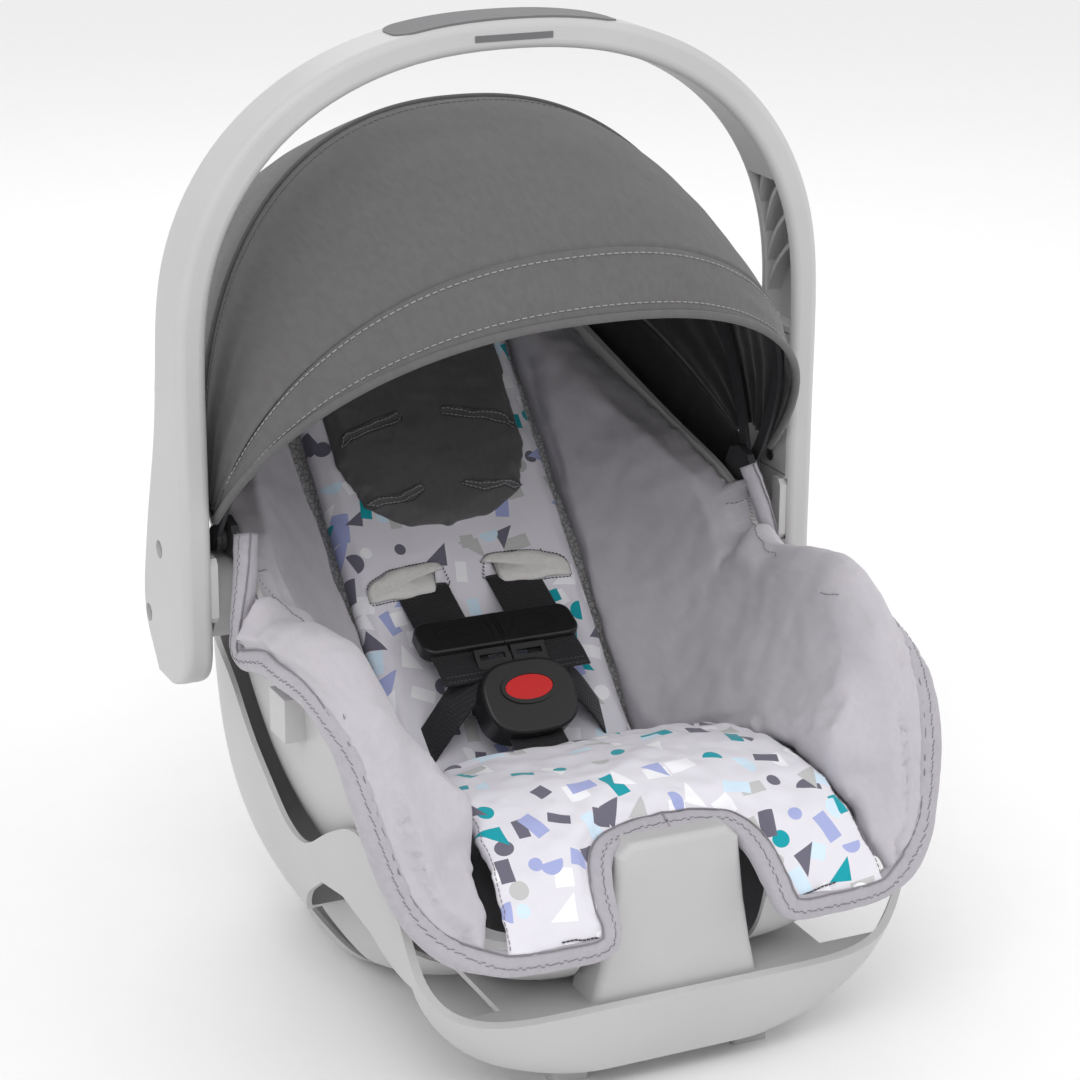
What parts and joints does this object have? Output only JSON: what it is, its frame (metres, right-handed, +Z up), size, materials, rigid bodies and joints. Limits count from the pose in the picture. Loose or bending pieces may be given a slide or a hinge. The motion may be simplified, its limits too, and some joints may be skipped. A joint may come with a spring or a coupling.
{
  "type": "infant car seat",
  "caption": "Rear-facing infant car seat: lift-off base, moulded carrier with harness and padded lining, swinging carry handle and folding sun canopy.",
  "frame": {"origin": "point on the floor directly below the carrying handle's mid plane, on the middle plane of the seat", "axes": "+X across the seat towards its left-hand side seen facing the head end's back, +Y from the foot end to the head end, +Z up"},
  "size_m": [0.4424, 0.5818, 0.6008],
  "materials": {
    "moulded_shell": "satin moulded, fine texture",
    "dark_grip": "soft-touch matt",
    "foot_rubber": "matt",
    "canopy_cloth": "plain weave polyester",
    "bow_plastic": "satin",
    "wing_cloth": "brushed knit",
    "print_cloth": "brushed knit with small printed shapes",
    "head_cloth": "plain weave polyester",
    "foam": "closed-cell foam",
    "webbing": "woven webbing",
    "buckle_plastic": "satin",
    "red_button": "gloss",
    "steel": "plated"
  },
  "bodies": {
    "base": {"base_housing": "moulded_shell", "base_pan": "moulded_shell", "front_feet": "foot_rubber", "latch_bar": "steel", "latch_bar_posts": "moulded_shell", "pan_screws": "steel"},
    "carrier": {"carrier_shell": "moulded_shell", "foam_liner": "foam", "back_pad": "print_cloth", "seat_cushion": "print_cloth", "wing_left": "wing_cloth", "wing_right": "wing_cloth", "head_panel": "head_cloth", "pivot_pin_left": "steel", "pivot_pin_right": "steel", "shoulder_strap_left": "webbing", "shoulder_strap_right": "webbing", "harness_yoke": "steel", "tongue_left": "buckle_plastic", "tongue_right": "buckle_plastic", "buckle_base": "buckle_plastic", "buckle_cover": "buckle_plastic", "buckle_spring": "steel", "lap_strap_left": "webbing", "lap_strap_right": "webbing", "crotch_strap": "webbing", "canopy_rear_panel": "canopy_cloth", "canopy_mount_left": "moulded_shell", "canopy_mount_right": "moulded_shell", "lever_pin": "steel", "lever_ears": "moulded_shell", "pad_clips": "moulded_shell"},
    "chest_clip": {"chest_clip_left": "buckle_plastic", "chest_clip_right": "buckle_plastic"},
    "buckle_button": {"buckle_button": "red_button"},
    "handle": {"handle_bow": "moulded_shell", "handle_grip": "dark_grip", "handle_slot_insert": "dark_grip", "hub_screws": "steel", "hub_cover_left": "moulded_shell", "hub_cover_right": "moulded_shell", "arm_cover_left": "moulded_shell", "arm_cover_right": "moulded_shell", "arm_cover_screws": "steel", "button_spring_left": "steel", "button_spring_right": "steel"},
    "handle_button_left": {"handle_button_left": "moulded_shell"},
    "handle_button_right": {"handle_button_right": "moulded_shell"},
    "canopy_mid": {"canopy_mid_bow": "bow_plastic", "canopy_front_panel": "canopy_cloth"},
    "canopy_front": {"canopy_front_bow": "bow_plastic", "canopy_brim": "canopy_cloth"},
    "release_lever": {"release_lever": "moulded_shell", "latch_hooks": "steel"}
  },
  "joints": [
    {"name": "carrier_lift", "type": "slide", "parent": "base", "child": "carrier", "axis": [0, 0, 1], "range_m": [0, 0.15]},
    {"name": "handle_swing", "type": "hinge", "parent": "carrier", "child": "handle", "pos_m": [0, 0.02, 0.245], "axis": [-1, 0, 0], "range_deg": [0, 115]},
    {"name": "handle_button_left_press", "type": "slide", "parent": "handle", "child": "handle_button_left", "axis": [-1, 0, 0], "range_m": [0, 0.0035], "stiffness_N_per_m": 600, "springref_m": -0.002, "deforming": ["button_spring_left"]},
    {"name": "handle_button_right_press", "type": "slide", "parent": "handle", "child": "handle_button_right", "axis": [1, 0, 0], "range_m": [0, 0.0035], "stiffness_N_per_m": 600, "springref_m": -0.002, "deforming": ["button_spring_right"]},
    {"name": "canopy_mid_fold", "type": "hinge", "parent": "carrier", "child": "canopy_mid", "pos_m": [0, 0.01, 0.285], "axis": [-1, 0, 0], "range_deg": [0, 33]},
    {"name": "canopy_front_fold", "type": "hinge", "parent": "canopy_mid", "child": "canopy_front", "pos_m": [0, 0.01, 0.285], "axis": [-1, 0, 0], "range_deg": [0, 33]},
    {"name": "chest_clip_slide", "type": "slide", "parent": "carrier", "child": "chest_clip", "axis": [0, -0.9203, -0.3912], "range_m": [-0.026, 0]},
    {"name": "buckle_button_press", "type": "slide", "parent": "carrier", "child": "buckle_button", "axis": [0, 0.7278, -0.6858], "range_m": [0, 0.0035], "stiffness_N_per_m": 600, "springref_m": -0.002, "deforming": ["buckle_spring"]},
    {"name": "release_lever_squeeze", "type": "hinge", "parent": "carrier", "child": "release_lever", "pos_m": [0, 0.168, 0.226], "axis": [1, 0, 0], "range_deg": [0, 8], "stiffness_Nm_per_rad": 2, "springref_deg": -8.59}
  ],
  "couplings": [
    {"joint": "canopy_front_fold", "follows": "canopy_mid_fold", "ratio": 1}
  ]
}
